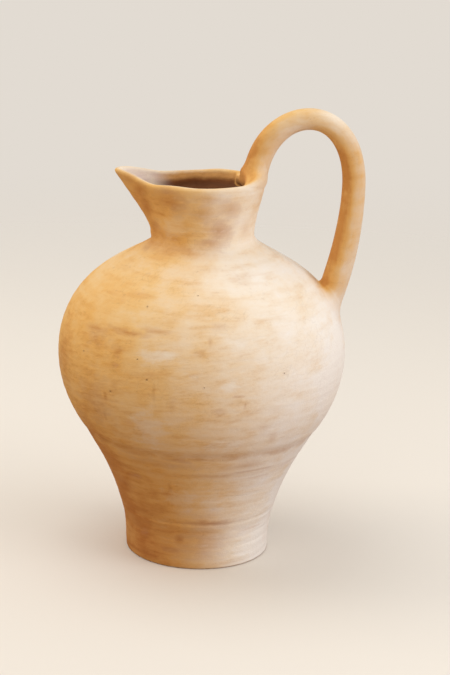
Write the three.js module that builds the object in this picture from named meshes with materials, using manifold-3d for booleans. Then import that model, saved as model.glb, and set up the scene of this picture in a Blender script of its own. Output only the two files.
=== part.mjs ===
// A clay pitcher with a round belly, a pulled pouring spout and a tall loop handle.
// Millimetres, +Z up. It stands on z = 0 and its axis is the Z axis.
// The handle is on the +X side and the spout is on the -X side.
import * as THREE from 'three';
import { mergeVertices } from 'three/addons/utils/BufferGeometryUtils.js';
import Module from 'manifold-3d';

// Foot: a flat thrown base with a short wall up to the waist line
const baseRadius = 55.8;
const baseEdgeRound = 1.6;
const baseLean = 6;
const footHeight = 37;
const waistRadius = 60.6;
const waistLeanBelow = 20;
const floorThickness = 7.5;
const floorFillet = 10;

// Lower body: the flaring wall from the waist line to the ledge line
const lowerBodyHeight = 69;
const ledgeRadius = 93.3;
const waistLeanAbove = 14.6;
const ledgeLean = 33.5;

// Belly: the globe, the shoulder and the start of the neck
const ledgeToWidest = 55.5;
const bellyRadius = 111;
const widestToShoulder = 58;
const shoulderRadius = 85.2;
const shoulderLean = -49;
const shoulderToNeckRoot = 22;
const neckRootRadius = 50.9;
const neckRootLean = -60.5;

// Neck: the throat, the flared collar, the rim and the spout
const neckRootToThroat = 13;
const throatRadius = 37.8;
const throatToRim = 40.5;
const rimRadius = 45;
const rimLean = 4;
const spoutBeyondRim = 26.4;
const spoutRise = 6.3;
const spoutLean = 36;
const spoutFoldInset = 7;
const spoutTipRound = 6;
const throatSwell = 3.8;
const lipRound = 2.6;

// Walls and the stepped joints between the thrown sections, and how closely the wall's line
// is read: the least distance between its points and the height its slope is measured over
const wallThickness = 6;
const lipThickness = 4.8;
const neckSeamRise = 5;
const tongueHeight = 3;
const jointClearance = 0.3;
const leastPointDistance = 0.8;
const slopeProbeHeight = 0.5;

// Handle: its line from the rim over the top and down to the shoulder
const handleRootInset = 8.7;
const handleRootLean = 3;
const handleRise = 48.2;
const handleTopBeyondRim = 32.3;
const handleSideBeyondFoot = 14.3;
const handleSideDrop = 48.7;
const handleFootDrop = 35.5;
const handleFootLean = 197.3;
const handleTongueDepth = 8.5;

// Handle: thickness across its line at five places, and how much wider it is than thick
const handleTongueThickness = 9;
const handleRootThickness = 17;
const handleTopThickness = 16.4;
const handleSideThickness = 18.2;
const handleFootThickness = 21;
const handleWidthRatio = 1.08;

// Clay pressed round the two ends of the handle
const collarSkin = 0.6;
const upperCollarHeight = 17;
const upperCollarDrop = 12;
const upperCollarFlare = 2.9;
const upperCollarBulge = 1.6;
const upperCollarSpread = 25;
const upperCollarShoulder = 20;
const lowerCollarOnHandle = 11;
const lowerCollarOnShoulder = 8;

// How full the curves are: the usual tension, and those of the spout's root and handle's bends
const tension = 0.35;
const spoutRootTension = 0.12;
const spoutTipTension = 0.5;
const handleRootTension = 0.42;
const handleSideTension = 0.46;

// How finely the round shapes are divided
const turnSteps = 48;
const neckTurnSteps = 56;
const spoutCrowding = 0.5;
const handleSides = 16;
const handleRings = 36;
const upperCollarRings = 5;
const lowerCollarBends = 4;
const bisections = 40;
const lipPlaces = [0.14, 0.5, 0.86];
const ridgeSteps = 60;
const fineSteps = 12;

const degrees = Math.PI / 180;
const smooth = (t) => THREE.MathUtils.smoothstep(t, 0, 1);
const mix = THREE.MathUtils.lerp;

// The spout's tip and the line where the rim starts to rise towards it, from the axis
const spoutReach = rimRadius + spoutBeyondRim;
const spoutFold = rimRadius - spoutFoldInset;

// Heights of the outline's stations, stacked from the floor up
const waistHeight = footHeight;
const ledgeHeight = waistHeight + lowerBodyHeight;
const widestHeight = ledgeHeight + ledgeToWidest;
const shoulderHeight = widestHeight + widestToShoulder;
const neckRootHeight = shoulderHeight + shoulderToNeckRoot;
const throatHeight = neckRootHeight + neckRootToThroat;
const rimHeight = throatHeight + throatToRim;
const neckSeamHeight = neckRootHeight + neckSeamRise;

// One smooth stretch between two points. A lean is the angle from straight up, in degrees.
// A tension is how far its curve is held along each lean, as a share of the straight distance.
function stretch(start, startLean, end, endLean, startTension = tension, endTension = tension) {
  const distance = start.distanceTo(end);
  const leaving = new THREE.Vector2(Math.sin(startLean * degrees), Math.cos(startLean * degrees));
  const arriving = new THREE.Vector2(Math.sin(endLean * degrees), Math.cos(endLean * degrees));
  const startHold = start.clone().addScaledVector(leaving, startTension * distance);
  const endHold = end.clone().addScaledVector(arriving, -endTension * distance);
  return new THREE.CubicBezierCurve(start, startHold, endHold, end);
}

// The outside of the round wall, as radius and height, from the base to the rim
const basePoint = new THREE.Vector2(baseRadius, 0);
const waistPoint = new THREE.Vector2(waistRadius, waistHeight);
const ledgePoint = new THREE.Vector2(ledgeRadius, ledgeHeight);
const widestPoint = new THREE.Vector2(bellyRadius, widestHeight);
const shoulderPoint = new THREE.Vector2(shoulderRadius, shoulderHeight);
const neckRootPoint = new THREE.Vector2(neckRootRadius, neckRootHeight);
const throatPoint = new THREE.Vector2(throatRadius, throatHeight);
const rimPoint = new THREE.Vector2(rimRadius, rimHeight);
const wallStretches = [
  { curve: stretch(basePoint, baseLean, waistPoint, waistLeanBelow), steps: 4 },
  { curve: stretch(waistPoint, waistLeanAbove, ledgePoint, ledgeLean), steps: 6 },
  { curve: stretch(ledgePoint, ledgeLean, widestPoint, 0), steps: 6 },
  { curve: stretch(widestPoint, 0, shoulderPoint, shoulderLean), steps: 7 },
  { curve: stretch(shoulderPoint, shoulderLean, neckRootPoint, neckRootLean), steps: 4 },
  { curve: stretch(neckRootPoint, neckRootLean, throatPoint, 0), steps: 5 },
  { curve: stretch(throatPoint, 0, rimPoint, rimLean), steps: 5, thinning: true },
];

// The wall's outer line, and its inner line one wall thickness in from it
function wallLines(refine) {
  const outer = [];
  const inner = [];
  for (const { curve, steps, thinning } of wallStretches) {
    const count = steps * refine;
    for (let i = outer.length ? 1 : 0; i <= count; i++) {
      const point = curve.getPoint(i / count);
      const along = curve.getTangent(i / count);
      const wall = thinning ? mix(wallThickness, lipThickness, i / count) : wallThickness;
      const inside = new THREE.Vector2(point.x - wall * along.y, point.y + wall * along.x);
      outer.push(point);
      if (!inner.length || inside.y > inner[inner.length - 1].y) inner.push(inside);
    }
  }
  return { outer, inner };
}
const fineWall = wallLines(fineSteps);
const coarseWall = wallLines(1);

// The radius of a line at a height
function radiusAt(line, height) {
  for (let i = 1; i < line.length; i++) {
    if (line[i].y >= height || i === line.length - 1) {
      const share = (height - line[i - 1].y) / (line[i].y - line[i - 1].y);
      return mix(line[i - 1].x, line[i].x, share);
    }
  }
  return line[0].x;
}
const outerRadiusAt = (height) => radiusAt(fineWall.outer, height);
const innerRadiusAt = (height) => radiusAt(fineWall.inner, height);
const wallMiddleAt = (height) => (outerRadiusAt(height) + innerRadiusAt(height)) / 2;

// The part of a wall line between two heights, with its exact ends and no crowded points
function lineBetween(coarse, radius, low, high) {
  const clear = (p) => p.y > low + leastPointDistance && p.y < high - leastPointDistance;
  const between = coarse.filter(clear);
  return [new THREE.Vector2(radius(low), low), ...between, new THREE.Vector2(radius(high), high)];
}
const outerLine = (low, high) => lineBetween(coarseWall.outer, outerRadiusAt, low, high);
const innerLine = (low, high) => lineBetween(coarseWall.inner, innerRadiusAt, low, high);

// The step at the top of a section: a flat shoulder outside and a tongue inside
function tongue(seam) {
  const middle = wallMiddleAt(seam);
  return [new THREE.Vector2(middle, seam), new THREE.Vector2(middle, seam + tongueHeight)];
}

// The matching step at the bottom of the section above, clear of the tongue
function groove(seam) {
  const middle = wallMiddleAt(seam) + jointClearance;
  const top = seam + tongueHeight + jointClearance;
  return [new THREE.Vector2(middle, top), new THREE.Vector2(middle, seam)];
}
const tongueTop = (seam) => seam + tongueHeight;
const grooveTop = (seam) => seam + tongueHeight + jointClearance;

// A turned solid about the Z axis
function turned(profile) {
  const geometry = new THREE.LatheGeometry(profile, turnSteps);
  geometry.rotateX(Math.PI / 2);
  return geometry;
}

// Foot: the profile starts and ends on the axis
function makeFoot() {
  const seam = waistHeight;
  const edge = new THREE.EllipseCurve(
    outerRadiusAt(baseEdgeRound) - baseEdgeRound, baseEdgeRound,
    baseEdgeRound, baseEdgeRound, -Math.PI / 2, 0);
  const filletTop = floorThickness + floorFillet;
  const filletSide = innerRadiusAt(filletTop);
  const fillet = new THREE.EllipseCurve(
    filletSide - floorFillet, filletTop, floorFillet, floorFillet, 0, -Math.PI / 2, true);
  return turned([
    new THREE.Vector2(0, 0),
    ...edge.getPoints(3).slice(0, -1),
    ...outerLine(baseEdgeRound, seam),
    ...tongue(seam),
    ...innerLine(filletTop, tongueTop(seam)).reverse().slice(0, -1),
    ...fillet.getPoints(3),
    new THREE.Vector2(0, floorThickness),
  ]);
}

// A round section between two seams: the profile closes on itself
function makeSection(lowSeam, highSeam) {
  const profile = [
    ...outerLine(lowSeam, highSeam),
    ...tongue(highSeam),
    ...innerLine(grooveTop(lowSeam), tongueTop(highSeam)).reverse(),
    ...groove(lowSeam),
  ];
  profile.push(profile[0].clone());
  return turned(profile);
}

// Closed skin over rings of points. Each ring turns the same way, and the rings either close
// on each other or end in a flat cap at both ends.
function skin(rings, closed) {
  const around = rings[0].length;
  const points = rings.flat();
  const faces = [];
  const bands = closed ? rings.length : rings.length - 1;
  for (let i = 0; i < bands; i++) {
    const low = i * around;
    const high = ((i + 1) % rings.length) * around;
    for (let j = 0; j < around; j++) {
      const next = (j + 1) % around;
      faces.push(low + j, low + next, high + next, low + j, high + next, high + j);
    }
  }
  if (!closed) {
    for (const [ring, turn] of [[0, 1], [rings.length - 1, 0]]) {
      const centre = new THREE.Vector3();
      rings[ring].forEach((point) => centre.addScaledVector(point, 1 / around));
      const middle = points.push(centre) - 1;
      for (let j = 0; j < around; j++) {
        const here = ring * around + j;
        const next = ring * around + ((j + 1) % around);
        faces.push(middle, turn ? next : here, turn ? here : next);
      }
    }
  }
  const geometry = new THREE.BufferGeometry().setFromPoints(points);
  geometry.setIndex(faces);
  return geometry;
}

// The spout's ridge: how far its front line is from the axis, from the throat to the tip
const ridgeStart = new THREE.Vector2(throatRadius + throatSwell, throatHeight);
const ridgeEnd = new THREE.Vector2(spoutReach, rimHeight + spoutRise);
const ridge = stretch(ridgeStart, 0, ridgeEnd, spoutLean, spoutRootTension, spoutTipTension);
const ridgeLine = ridge.getPoints(ridgeSteps);

// The angle that the spout's straight sides open over, at a height on the round part
function spoutAngle(height) {
  const rise = (height - neckSeamHeight) / (rimHeight - neckSeamHeight);
  const ridgeHeight = mix(neckSeamHeight, ridgeEnd.y, rise);
  const swell = throatSwell * smooth((ridgeHeight - neckSeamHeight) / (throatHeight - neckSeamHeight));
  const round = outerRadiusAt(height);
  const front = ridgeHeight > throatHeight ? radiusAt(ridgeLine, ridgeHeight) : round + swell;
  return Math.acos(Math.min(1, round / Math.max(front, round)));
}

// How much further out the spout is than the round neck, at a turn angle from the spout
function spoutShare(height, turn) {
  const open = spoutAngle(height);
  const soft = spoutTipRound / spoutReach;
  const away = Math.hypot(turn, soft);
  return 1 / Math.cos(Math.max(0, open + soft - away));
}

// The rim's height round the neck: level, and rising towards the tip of the spout
function rimHeightAt(turn) {
  const forward = rimRadius * spoutShare(rimHeight, turn) * Math.cos(turn);
  return rimHeight + spoutRise * smooth((forward - spoutFold) / (spoutReach - spoutFold));
}

// The turn angles of the neck's rings, closer together at the spout
const neckTurns = Array.from({ length: neckTurnSteps }, (_, j) => {
  const even = (2 * Math.PI * j) / neckTurnSteps - Math.PI;
  return even - spoutCrowding * Math.sin(even);
});

// The neck's rings: outside up, over the rounded lip, inside down and round the groove
function neckRows(grow) {
  const seam = neckSeamHeight;
  const lipBase = rimHeight - lipRound;
  const rows = [];
  for (const point of outerLine(seam, lipBase)) {
    rows.push({ radius: point.x + grow, height: point.y, drop: 0, spout: true });
  }
  for (const across of lipPlaces) {
    const radius = mix(rimRadius + grow, rimRadius - lipThickness - grow, across);
    const drop = lipRound * (1 - Math.sqrt(1 - (2 * across - 1) ** 2));
    rows.push({ radius, height: rimHeight, drop: drop - grow, spout: true });
  }
  for (const point of innerLine(grooveTop(seam), lipBase).reverse()) {
    rows.push({ radius: point.x - grow, height: point.y, drop: 0, spout: true });
  }
  for (const point of groove(seam)) {
    rows.push({ radius: point.x - grow, height: point.y, drop: 0, spout: false });
  }
  return rows;
}

// The neck as a closed skin, or grown all round by a clearance to cut its neighbours
function makeNeck(grow) {
  const rings = neckRows(grow).map((row) => neckTurns.map((turn) => {
    const stretchUp = (rimHeightAt(turn) - neckSeamHeight) / (rimHeight - neckSeamHeight);
    const radius = row.radius * (row.spout ? spoutShare(row.height, turn) : 1);
    const height = neckSeamHeight + (row.height - neckSeamHeight) * stretchUp - row.drop;
    return new THREE.Vector3(-radius * Math.cos(turn), -radius * Math.sin(turn), height);
  }));
  return skin(rings, true);
}

// The handle's line in the XZ plane: tongue, rise, side, fall, and on into the shoulder
const inPlane = (point) => new THREE.Vector3(point.x, 0, point.y);
const handleRoot = new THREE.Vector2(rimRadius - handleRootInset, rimHeight);
const handleTop = new THREE.Vector2(rimRadius + handleTopBeyondRim, rimHeight + handleRise);
const handleFootHeight = neckRootHeight - handleFootDrop;
const handleFoot = new THREE.Vector2(outerRadiusAt(handleFootHeight), handleFootHeight);
const handleSideReach = handleFoot.x + handleSideBeyondFoot;
const handleSide = new THREE.Vector2(handleSideReach, handleTop.y - handleSideDrop);
function lineAlong(point, lean, length) {
  const way = new THREE.Vector2(Math.sin(lean * degrees), Math.cos(lean * degrees));
  return point.clone().addScaledVector(way, length);
}
const handleTongueEnd = lineAlong(handleRoot, handleRootLean, -handleTongueDepth);
const handleSunkEnd = lineAlong(handleFoot, handleFootLean, handleFootThickness);
const handlePath = new THREE.CurvePath();
handlePath.add(new THREE.LineCurve3(inPlane(handleTongueEnd), inPlane(handleRoot)));
for (const curve of [
  stretch(handleRoot, handleRootLean, handleTop, 90, handleRootTension),
  stretch(handleTop, 90, handleSide, 180, tension, handleSideTension),
  stretch(handleSide, 180, handleFoot, handleFootLean),
]) {
  const { v0, v1, v2, v3 } = curve;
  handlePath.add(new THREE.CubicBezierCurve3(inPlane(v0), inPlane(v1), inPlane(v2), inPlane(v3)));
}
handlePath.add(new THREE.LineCurve3(inPlane(handleFoot), inPlane(handleSunkEnd)));

// The handle's thickness along its line, smooth between its named places
const handleLengths = handlePath.getCurveLengths();
const handleLength = handleLengths[handleLengths.length - 1];
const handlePlaces = [0, ...handleLengths.map((length) => length / handleLength)];
const handleThicknesses = [
  handleTongueThickness, handleRootThickness, handleTopThickness,
  handleSideThickness, handleFootThickness, handleFootThickness,
];
function handleThicknessAt(place) {
  let i = 1;
  while (i < handlePlaces.length - 1 && place > handlePlaces[i]) i++;
  const share = (place - handlePlaces[i - 1]) / (handlePlaces[i] - handlePlaces[i - 1]);
  return mix(handleThicknesses[i - 1], handleThicknesses[i], smooth(share));
}

// A point on the handle's surface: a place along it, a turn round it, grown by a clearance
function handlePoint(place, turn, grow) {
  const centre = handlePath.getPointAt(place);
  const along = handlePath.getTangentAt(place);
  const across = new THREE.Vector3(along.z, 0, -along.x);
  const half = handleThicknessAt(place) / 2;
  const wide = half * handleWidthRatio;
  return centre
    .addScaledVector(across, (half + grow) * Math.cos(turn))
    .add(new THREE.Vector3(0, (wide + grow) * Math.sin(turn), 0));
}
const handleTurns = Array.from({ length: handleSides }, (_, j) => (2 * Math.PI * j) / handleSides);
function makeHandleBar(grow) {
  const rings = [];
  for (let i = 0; i <= handleRings; i++) {
    rings.push(handleTurns.map((turn) => handlePoint(i / handleRings, turn, grow)));
  }
  return skin(rings, false);
}

// A level oval ring, from its side near the axis to its far side
function ovalRing(height, nearAxis, farOut, spread) {
  const middle = (nearAxis + farOut) / 2;
  const reach = (farOut - nearAxis) / 2;
  const at = (turn) => new THREE.Vector3(
    middle + reach * Math.cos(turn), spread * Math.sin(turn), height);
  return handleTurns.map(at);
}

// A point drawn in towards the axis, where it would pass the middle of the wall
function withinWall(point) {
  const share = Math.min(1, wallMiddleAt(point.z) / Math.hypot(point.x, point.y));
  return new THREE.Vector3(point.x * share, point.y * share, point.z);
}

// Lump of clay at the rim: it hangs inside the mouth and narrows up the handle
function makeUpperLump() {
  const rings = [];
  const grip = collarSkin + jointClearance;
  const half = handleRootThickness / 2 + grip;
  const wide = (handleRootThickness / 2) * handleWidthRatio + grip;
  const lipBase = rimHeight - lipRound;
  for (let i = 1; i <= upperCollarRings; i++) {
    const share = i / upperCollarRings;
    const height = lipBase - upperCollarDrop * (1 - share);
    const wallMiddle = wallMiddleAt(height);
    const nearAxis = mix(wallMiddle - 2 * grip, handleRoot.x - half, smooth(share));
    const spread = upperCollarSpread * Math.sqrt(share);
    rings.push(ovalRing(height, nearAxis, wallMiddle, spread).map(withinWall));
  }
  for (let i = 0; i <= upperCollarRings; i++) {
    const share = i / upperCollarRings;
    const place = handlePlaces[1] + (share * upperCollarHeight) / handleLength;
    const centre = handlePath.getPointAt(place);
    const nearAxis = centre.x - half - upperCollarFlare * (1 - share) ** 2;
    const farOut = centre.x + half + upperCollarBulge * Math.sin(Math.PI * share);
    const spread = mix(upperCollarShoulder, wide, 1 - (1 - share) ** 3);
    rings.push(ovalRing(centre.z + jointClearance, nearAxis, farOut, spread));
  }
  return skin(rings, false);
}

// Where a line down the handle's surface meets the shoulder
function shoulderPlace(turn) {
  let outside = handlePlaces[3];
  let inside = 1;
  for (let i = 0; i < bisections; i++) {
    const place = (outside + inside) / 2;
    const point = handlePoint(place, turn, 0);
    if (Math.hypot(point.x, point.y) > outerRadiusAt(point.z)) outside = place;
    else inside = place;
  }
  return inside;
}

// The wall's outward direction at a point near it
function wallNormal(point) {
  const above = outerRadiusAt(point.z + slopeProbeHeight);
  const below = outerRadiusAt(point.z - slopeProbeHeight);
  const slope = (above - below) / (2 * slopeProbeHeight);
  const out = Math.hypot(point.x, point.y);
  return new THREE.Vector3(point.x / out, point.y / out, -slope).normalize();
}

// A point moved level, towards or away from the axis, until it is on the wall
function ontoWall(point) {
  const share = outerRadiusAt(point.z) / Math.hypot(point.x, point.y);
  return new THREE.Vector3(point.x * share, point.y * share, point.z);
}

// Clay smeared from the handle onto the shoulder, as a hollow fillet round the handle's foot
function makeLowerLump() {
  const grip = collarSkin + jointClearance;
  const rings = Array.from({ length: lowerCollarBends + 3 }, () => []);
  for (const turn of handleTurns) {
    const meet = shoulderPlace(turn);
    const corner = handlePoint(meet, turn, 0);
    const normal = wallNormal(corner);
    const away = corner.clone().sub(handlePath.getPointAt(meet)).projectOnPlane(normal).normalize();
    const upPlace = meet - lowerCollarOnHandle / handleLength;
    const onHandle = handlePoint(upPlace, turn, grip);
    const onWall = ontoWall(corner.clone().addScaledVector(away, lowerCollarOnShoulder));
    const edge = onWall.clone().addScaledVector(wallNormal(onWall), grip);
    const under = onWall.clone().addScaledVector(wallNormal(onWall), -wallThickness / 2);
    const bend = corner.clone().addScaledVector(normal, grip).addScaledVector(away, grip);
    const hollow = new THREE.QuadraticBezierCurve3(onHandle, bend, edge);
    const core = handlePath.getPointAt(upPlace).lerp(onHandle, 0.5);
    [core, ...hollow.getPoints(lowerCollarBends), under].forEach((point, i) => rings[i].push(point));
  }
  return skin(rings, false);
}

// Solids for cutting, and back to drawn geometry
const wasm = await Module();
wasm.setup();
function solidOf(geometry) {
  const bare = geometry.clone();
  bare.deleteAttribute('normal');
  bare.deleteAttribute('uv');
  const merged = mergeVertices(bare, 1e-4);
  const triangles = [];
  const index = merged.index.array;
  for (let i = 0; i < index.length; i += 3) {
    const [a, b, c] = [index[i], index[i + 1], index[i + 2]];
    if (a !== b && b !== c && c !== a) triangles.push(a, b, c);
  }
  return new wasm.Manifold(new wasm.Mesh({
    numProp: 3,
    vertProperties: merged.attributes.position.array,
    triVerts: new Uint32Array(triangles),
  }));
}
function geometryOf(solid) {
  const mesh = solid.getMesh();
  const geometry = new THREE.BufferGeometry();
  geometry.setAttribute('position', new THREE.BufferAttribute(mesh.vertProperties, 3));
  geometry.setIndex(new THREE.BufferAttribute(mesh.triVerts, 1));
  return geometry;
}

// The shoulder's outer shape as a full solid, grown by the clearance
function makeShoulderMould() {
  const low = waistHeight;
  const high = throatHeight;
  const grown = outerLine(low, high).map((p) => {
    const normal = wallNormal(new THREE.Vector3(p.x, 0, p.y));
    return new THREE.Vector2(p.x + jointClearance * normal.x, p.y + jointClearance * normal.z);
  });
  return turned([new THREE.Vector2(0, grown[0].y), ...grown,
    new THREE.Vector2(0, grown[grown.length - 1].y)]);
}

const neckCutter = solidOf(makeNeck(jointClearance));
const shoulderCutter = solidOf(makeShoulderMould());
const handleCutter = solidOf(makeHandleBar(jointClearance));
const handleBar = solidOf(makeHandleBar(0));
const handleSolid = handleBar.subtract(neckCutter).subtract(shoulderCutter);
const upperCollarSolid = solidOf(makeUpperLump()).subtract(neckCutter).subtract(handleCutter);
const lowerCollarSolid = solidOf(makeLowerLump()).subtract(shoulderCutter).subtract(handleCutter);

// One named mesh for each piece, in the colours of the fired clay
function piece(name, geometry, colour) {
  const material = new THREE.MeshStandardMaterial({ color: colour, roughness: 0.8, metalness: 0 });
  const mesh = new THREE.Mesh(geometry, material);
  mesh.name = name;
  return mesh;
}
const jug = new THREE.Group();
jug.name = 'jug';
jug.add(
  piece('foot', makeFoot(), 0xe2c7a4),
  piece('lower_body', makeSection(waistHeight, ledgeHeight), 0xe8cfac),
  piece('belly', makeSection(ledgeHeight, neckSeamHeight), 0xf0dcc0),
  piece('neck', makeNeck(0), 0xdcb989),
  piece('handle', geometryOf(handleSolid), 0xdfb781),
  piece('upper_handle_collar', geometryOf(upperCollarSolid), 0xe6c798),
  piece('lower_handle_collar', geometryOf(lowerCollarSolid), 0xe9cba2),
);

export default jug;
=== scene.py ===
import math
from functools import partialmethod
from types import SimpleNamespace

import bpy
import numpy as np
from mathutils import Matrix, Vector


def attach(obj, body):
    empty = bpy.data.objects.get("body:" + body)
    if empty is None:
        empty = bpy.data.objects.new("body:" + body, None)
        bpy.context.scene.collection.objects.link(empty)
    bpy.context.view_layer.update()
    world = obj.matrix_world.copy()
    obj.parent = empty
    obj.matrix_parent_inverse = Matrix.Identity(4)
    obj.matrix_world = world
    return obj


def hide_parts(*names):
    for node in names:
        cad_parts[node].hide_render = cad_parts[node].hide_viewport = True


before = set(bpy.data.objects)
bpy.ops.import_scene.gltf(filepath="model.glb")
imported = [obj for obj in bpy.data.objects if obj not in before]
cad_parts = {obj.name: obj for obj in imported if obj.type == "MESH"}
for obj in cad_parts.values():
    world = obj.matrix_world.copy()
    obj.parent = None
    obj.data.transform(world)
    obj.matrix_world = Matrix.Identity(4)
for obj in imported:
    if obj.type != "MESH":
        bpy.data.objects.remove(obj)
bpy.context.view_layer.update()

# A hand-thrown clay pitcher on a pale studio floor.
# The shapes are worked out in millimetres, and MM takes them to metres.
MM = 0.001

# Outline of the thrown wall: radius, height and lean from straight up at each station
BASE_RADIUS, BASE_LEAN, BASE_EDGE = 55.8, 6.0, 1.6
WAIST_RADIUS, WAIST_HEIGHT, WAIST_BELOW, WAIST_ABOVE = 60.6, 37.0, 20.0, 14.6
LEDGE_RADIUS, LEDGE_HEIGHT, LEDGE_LEAN = 93.3, 106.0, 33.5
BELLY_RADIUS, BELLY_HEIGHT = 111.0, 161.5
SHOULDER_RADIUS, SHOULDER_HEIGHT, SHOULDER_LEAN = 85.2, 219.5, -49.0
ROOT_RADIUS, ROOT_HEIGHT, ROOT_LEAN = 50.9, 241.5, -60.5
THROAT_RADIUS, THROAT_HEIGHT = 37.8, 254.5
RIM_RADIUS, RIM_HEIGHT, RIM_LEAN = 45.0, 295.0, 4.0
NECK_SEAM = 246.5
WALL, LIP_WALL, LIP_ROUND = 6.0, 4.8, 3.0
FLOOR_TOP, FLOOR_FILLET = 7.5, 10.0
LIP_BASE = RIM_HEIGHT - LIP_ROUND

# Spout: its tip, its ridge and how it is pulled out of the round neck
SPOUT_REACH, SPOUT_RISE, SPOUT_LEAN = 71.4, 6.3, 36.0
SPOUT_FOLD, SPOUT_ROUND, THROAT_SWELL = 38.0, 6.0, 3.8
RIDGE_TENSIONS = (0.12, 0.5)

# Handle: its line in the plane of the spout, and its thickness along the line
HANDLE_ROOT, ROOT_WAY = (36.3, 295.0), 3.0
HANDLE_TOP = (77.3, 343.2)
HANDLE_SIDE = (112.0, 294.5)
HANDLE_FOOT_HEIGHT, FOOT_WAY = 206.0, 197.3
TONGUE_DEPTH, SUNK_DEPTH = 8.5, 21.0
HANDLE_THICK = (10.5, 19.6, 16.7, 18.2, 21.0, 21.0)
HANDLE_WIDTH = 1.08
ROOT_TENSION, SIDE_TENSION = 0.42, 0.46
HANDLE_CREST = 351.4

# How full the other curves are
TENSION = 0.35

# Marks outside: heights and depths of the step and the turned lines
LEDGE_STEP = 0.42
LINE_HEIGHT, LINE_DEPTH = 84.5, 0.14
WAIST_LINE, WAIST_DEPTH = 38.2, 0.3
NECK_LINE, NECK_DEPTH = 240.5, 0.25
FOOT_LINES = ((9.5, 0.1), (17.0, 0.22), (24.5, 0.2), (31.0, 0.12))

# Spacing of rings, grooves and floor grooves, and of the wire's marks with their middle
RING_PITCH, GROOVE_PITCH, FLOOR_PITCH = 7.4, 9.2, 9.0
WIRE_PITCH, WIRE_X, WIRE_Y = 5.2, 46, -78

# How near to the axis the section is sampled
AXIS_GAP = 0.4

# Distances from a skin over which its relief fades
RELIEF_NEAR, RELIEF_FAR = 2.0, 6.0


def lean_way(angle):
    """Direction at an angle from straight up, as radius and height."""
    return np.array([math.sin(math.radians(angle)), math.cos(math.radians(angle))])


def unit(vectors):
    return vectors / np.maximum(np.linalg.norm(vectors, axis=-1, keepdims=True), 1e-12)


def lengths_along(points):
    steps = np.linalg.norm(np.diff(points, axis=0), axis=1)
    return np.concatenate([[0], np.cumsum(steps)])


def paired(first, second):
    return np.broadcast_arrays(np.asarray(first, float), np.asarray(second, float))


def bezier(start, start_lean, end, end_lean, first=TENSION, last=TENSION, count=80):
    """Points and directions of one smooth stretch between two leaning ends."""
    start, end = np.array(start, float), np.array(end, float)
    reach = np.linalg.norm(end - start)
    a = start + lean_way(start_lean) * first * reach
    b = end - lean_way(end_lean) * last * reach
    t = np.linspace(0, 1, count + 1)[:, None]
    u = 1 - t
    points = u ** 3 * start + 3 * u * u * t * a + 3 * u * t * t * b + t ** 3 * end
    way = u * u * (a - start) + 2 * u * t * (b - a) + t * t * (end - b)
    return points, unit(way)


def smooth(t):
    """0 to 1 with soft ends."""
    t = np.clip(t, 0, 1)
    return t * t * (3 - 2 * t)


def rise(low, high, value):
    return smooth((value - low) / (high - low))


def bump(value, middle, width):
    """1 at a value, falling softly to 0 on both sides."""
    return np.exp(-(((value - middle) / width) ** 2))


# The wall's outer line and its inner line one wall in, radius by height
OUTLINE = (
    (BASE_RADIUS, 0, BASE_LEAN, BASE_LEAN),
    (WAIST_RADIUS, WAIST_HEIGHT, WAIST_BELOW, WAIST_ABOVE),
    (LEDGE_RADIUS, LEDGE_HEIGHT, LEDGE_LEAN, LEDGE_LEAN),
    (BELLY_RADIUS, BELLY_HEIGHT, 0, 0),
    (SHOULDER_RADIUS, SHOULDER_HEIGHT, SHOULDER_LEAN, SHOULDER_LEAN),
    (ROOT_RADIUS, ROOT_HEIGHT, ROOT_LEAN, ROOT_LEAN),
    (THROAT_RADIUS, THROAT_HEIGHT, 0, 0),
    (RIM_RADIUS, RIM_HEIGHT, RIM_LEAN, RIM_LEAN),
)
STRETCHES = [bezier(a[:2], a[3], b[:2], b[2]) for a, b in zip(OUTLINE, OUTLINE[1:])]


def wall_lines():
    outer, inner = [], []
    for k, (points, way) in enumerate(STRETCHES):
        thin = np.linspace(WALL, LIP_WALL, len(points)) if k == len(STRETCHES) - 1 else WALL
        inside = points + np.stack([-way[:, 1], way[:, 0]], 1) * np.reshape(thin, (-1, 1))
        outer.extend(points if not outer else points[1:])
        for p in inside:
            if not inner or p[1] > inner[-1][1] + 1e-6:
                inner.append(p)
    return np.array(outer), np.array(inner)


OUTER, INNER = wall_lines()


def outer_radius(height):
    return np.interp(height, OUTER[:, 1], OUTER[:, 0])


def inner_radius(height):
    return np.interp(height, INNER[:, 1], INNER[:, 0])


# The section as one line: under the base, up the outside, over the lip, down the inside
def arc(middle, radius, start, end, count=12):
    turn = np.radians(np.linspace(start, end, count + 1))
    return np.stack([middle[0] + radius * np.cos(turn), middle[1] + radius * np.sin(turn)], 1)


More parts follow.
